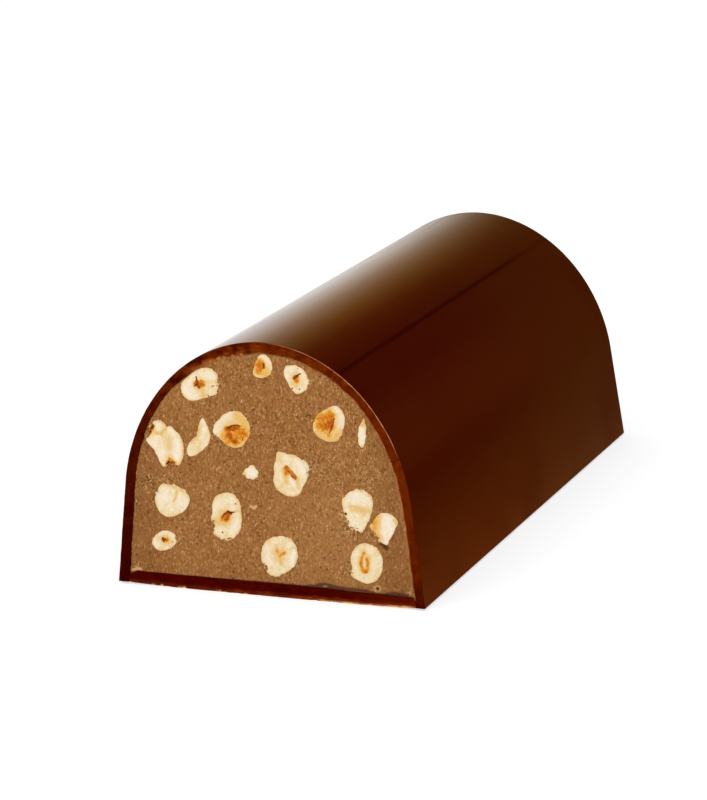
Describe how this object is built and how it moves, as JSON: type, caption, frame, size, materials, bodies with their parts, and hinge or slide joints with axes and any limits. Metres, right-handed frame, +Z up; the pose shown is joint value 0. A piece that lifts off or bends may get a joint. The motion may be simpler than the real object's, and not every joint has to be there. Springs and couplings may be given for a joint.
{
  "type": "half-round hazelnut torrone loaf with a cut end",
  "caption": "Half-round hazelnut torrone: a glossy chocolate shell and base round a praline filling, cut open at one end to show the nuts.",
  "frame": {"origin": "middle of the footprint, on the surface that the loaf stands on", "axes": "+Y along the loaf from the cut end to the closed end, +Z up, +X to the right seen from the cut end"},
  "size_m": [0.09, 0.187, 0.0705],
  "materials": {
    "chocolate_shell": "glossy dark chocolate, moulded smooth, matt where it is cut",
    "chocolate_base": "dark chocolate, satin, spread flat, matt where it is cut",
    "praline_filling": "matt milk-brown praline with fine dark specks and small crumbs where it is cut",
    "hazelnut": "cut toasted hazelnut, cream with amber hearts and brown cracks"
  },
  "bodies": {
    "root": {"chocolate_shell": "chocolate_shell", "chocolate_base": "chocolate_base", "praline_filling": "praline_filling", "hazelnut_01": "hazelnut", "hazelnut_02": "hazelnut", "hazelnut_03": "hazelnut", "hazelnut_04": "hazelnut", "hazelnut_05": "hazelnut", "hazelnut_06": "hazelnut", "hazelnut_07": "hazelnut", "hazelnut_08": "hazelnut", "hazelnut_09": "hazelnut", "hazelnut_10": "hazelnut", "hazelnut_11": "hazelnut", "hazelnut_12": "hazelnut", "hazelnut_13": "hazelnut", "hazelnut_14": "hazelnut", "hazelnut_15": "hazelnut", "hazelnut_16": "hazelnut", "hazelnut_17": "hazelnut"}
  },
  "joints": []
}
